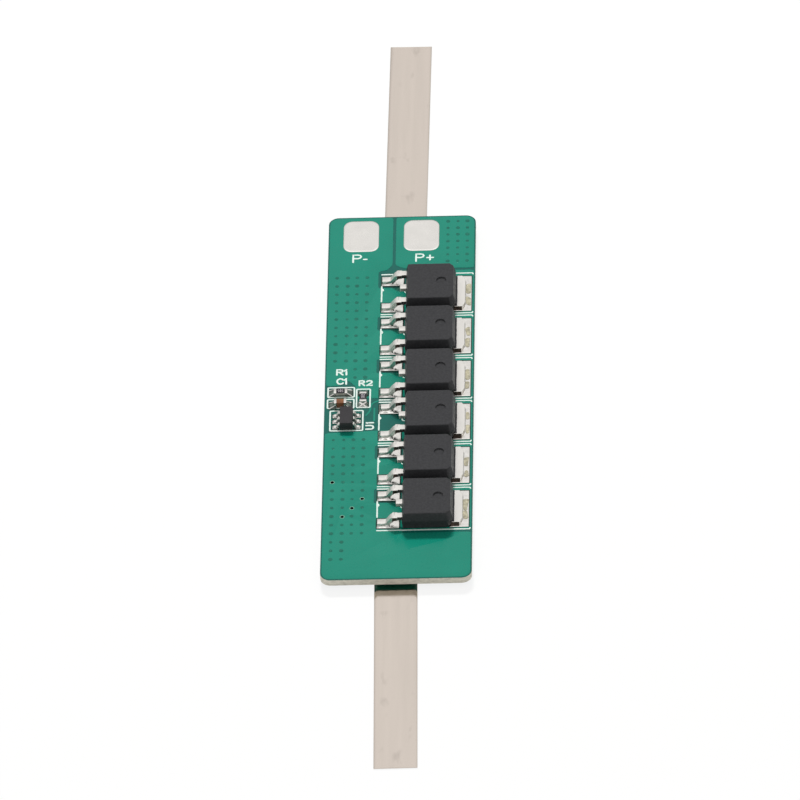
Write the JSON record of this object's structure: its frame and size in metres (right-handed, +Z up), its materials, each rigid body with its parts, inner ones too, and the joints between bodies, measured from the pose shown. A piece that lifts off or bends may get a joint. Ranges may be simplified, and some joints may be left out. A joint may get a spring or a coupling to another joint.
{
  "type": "battery management board",
  "caption": "Slim circuit board with a row of power transistors, a protection chip, output pads and a nickel weld strip at each end, for guarding a lithium cell.",
  "frame": {"origin": "under the middle of the whole object's box, on the undersides of the two nickel strips", "axes": "+X across the board from the small parts to the transistor tabs, +Y along it towards the output pads, +Z up from the strips to the component side"},
  "size_m": [0.0176, 0.1224, 0.0039],
  "materials": {
    "board_laminate": "glass-epoxy laminate under satin-gloss green solder mask",
    "nickel_sheet": "rolled nickel strip, satin with faint rolling lines",
    "solder": "reflowed solder, bright with soft hollows",
    "tinned_pad": "hot-air levelled tin, satin bright",
    "tinned_copper": "matte tin plating on stamped copper",
    "transistor_moulding": "fine-grained black epoxy moulding",
    "chip_moulding": "fine-grained black epoxy moulding",
    "resistor_ceramic": "white alumina, matte",
    "capacitor_ceramic": "brown fired dielectric, satin",
    "overglaze": "black resin glaze, satin"
  },
  "bodies": {
    "root": {"capacitor_1_body": "capacitor_ceramic", "capacitor_1_end_caps": "tinned_pad", "capacitor_1_solder": "solder", "circuit_board": "board_laminate", "nickel_strip_far": "nickel_sheet", "nickel_strip_near": "nickel_sheet", "output_pad_negative": "tinned_pad", "output_pad_positive": "tinned_pad", "protection_chip_body": "chip_moulding", "protection_chip_lead_1": "tinned_copper", "protection_chip_lead_2": "tinned_copper", "protection_chip_lead_3": "tinned_copper", "protection_chip_lead_4": "tinned_copper", "protection_chip_lead_5": "tinned_copper", "protection_chip_lead_6": "tinned_copper", "protection_chip_solder": "solder", "resistor_1_body": "resistor_ceramic", "resistor_1_end_caps": "tinned_pad", "resistor_1_overglaze": "overglaze", "resistor_1_solder": "solder", "resistor_2_body": "resistor_ceramic", "resistor_2_end_caps": "tinned_pad", "resistor_2_overglaze": "overglaze", "resistor_2_solder": "solder", "strip_solder_far": "solder", "strip_solder_near": "solder", "transistor_1_body": "transistor_moulding", "transistor_1_drain_tab": "tinned_copper", "transistor_1_gate_lead": "tinned_copper", "transistor_1_solder": "solder", "transistor_1_source_lead": "tinned_copper", "transistor_2_body": "transistor_moulding", "transistor_2_drain_tab": "tinned_copper", "transistor_2_gate_lead": "tinned_copper", "transistor_2_solder": "solder", "transistor_2_source_lead": "tinned_copper", "transistor_3_body": "transistor_moulding", "transistor_3_drain_tab": "tinned_copper", "transistor_3_gate_lead": "tinned_copper", "transistor_3_solder": "solder", "transistor_3_source_lead": "tinned_copper", "transistor_4_body": "transistor_moulding", "transistor_4_drain_tab": "tinned_copper", "transistor_4_gate_lead": "tinned_copper", "transistor_4_solder": "solder", "transistor_4_source_lead": "tinned_copper", "transistor_5_body": "transistor_moulding", "transistor_5_drain_tab": "tinned_copper", "transistor_5_gate_lead": "tinned_copper", "transistor_5_solder": "solder", "transistor_5_source_lead": "tinned_copper", "transistor_6_body": "transistor_moulding", "transistor_6_drain_tab": "tinned_copper", "transistor_6_gate_lead": "tinned_copper", "transistor_6_solder": "solder", "transistor_6_source_lead": "tinned_copper"}
  },
  "joints": []
}
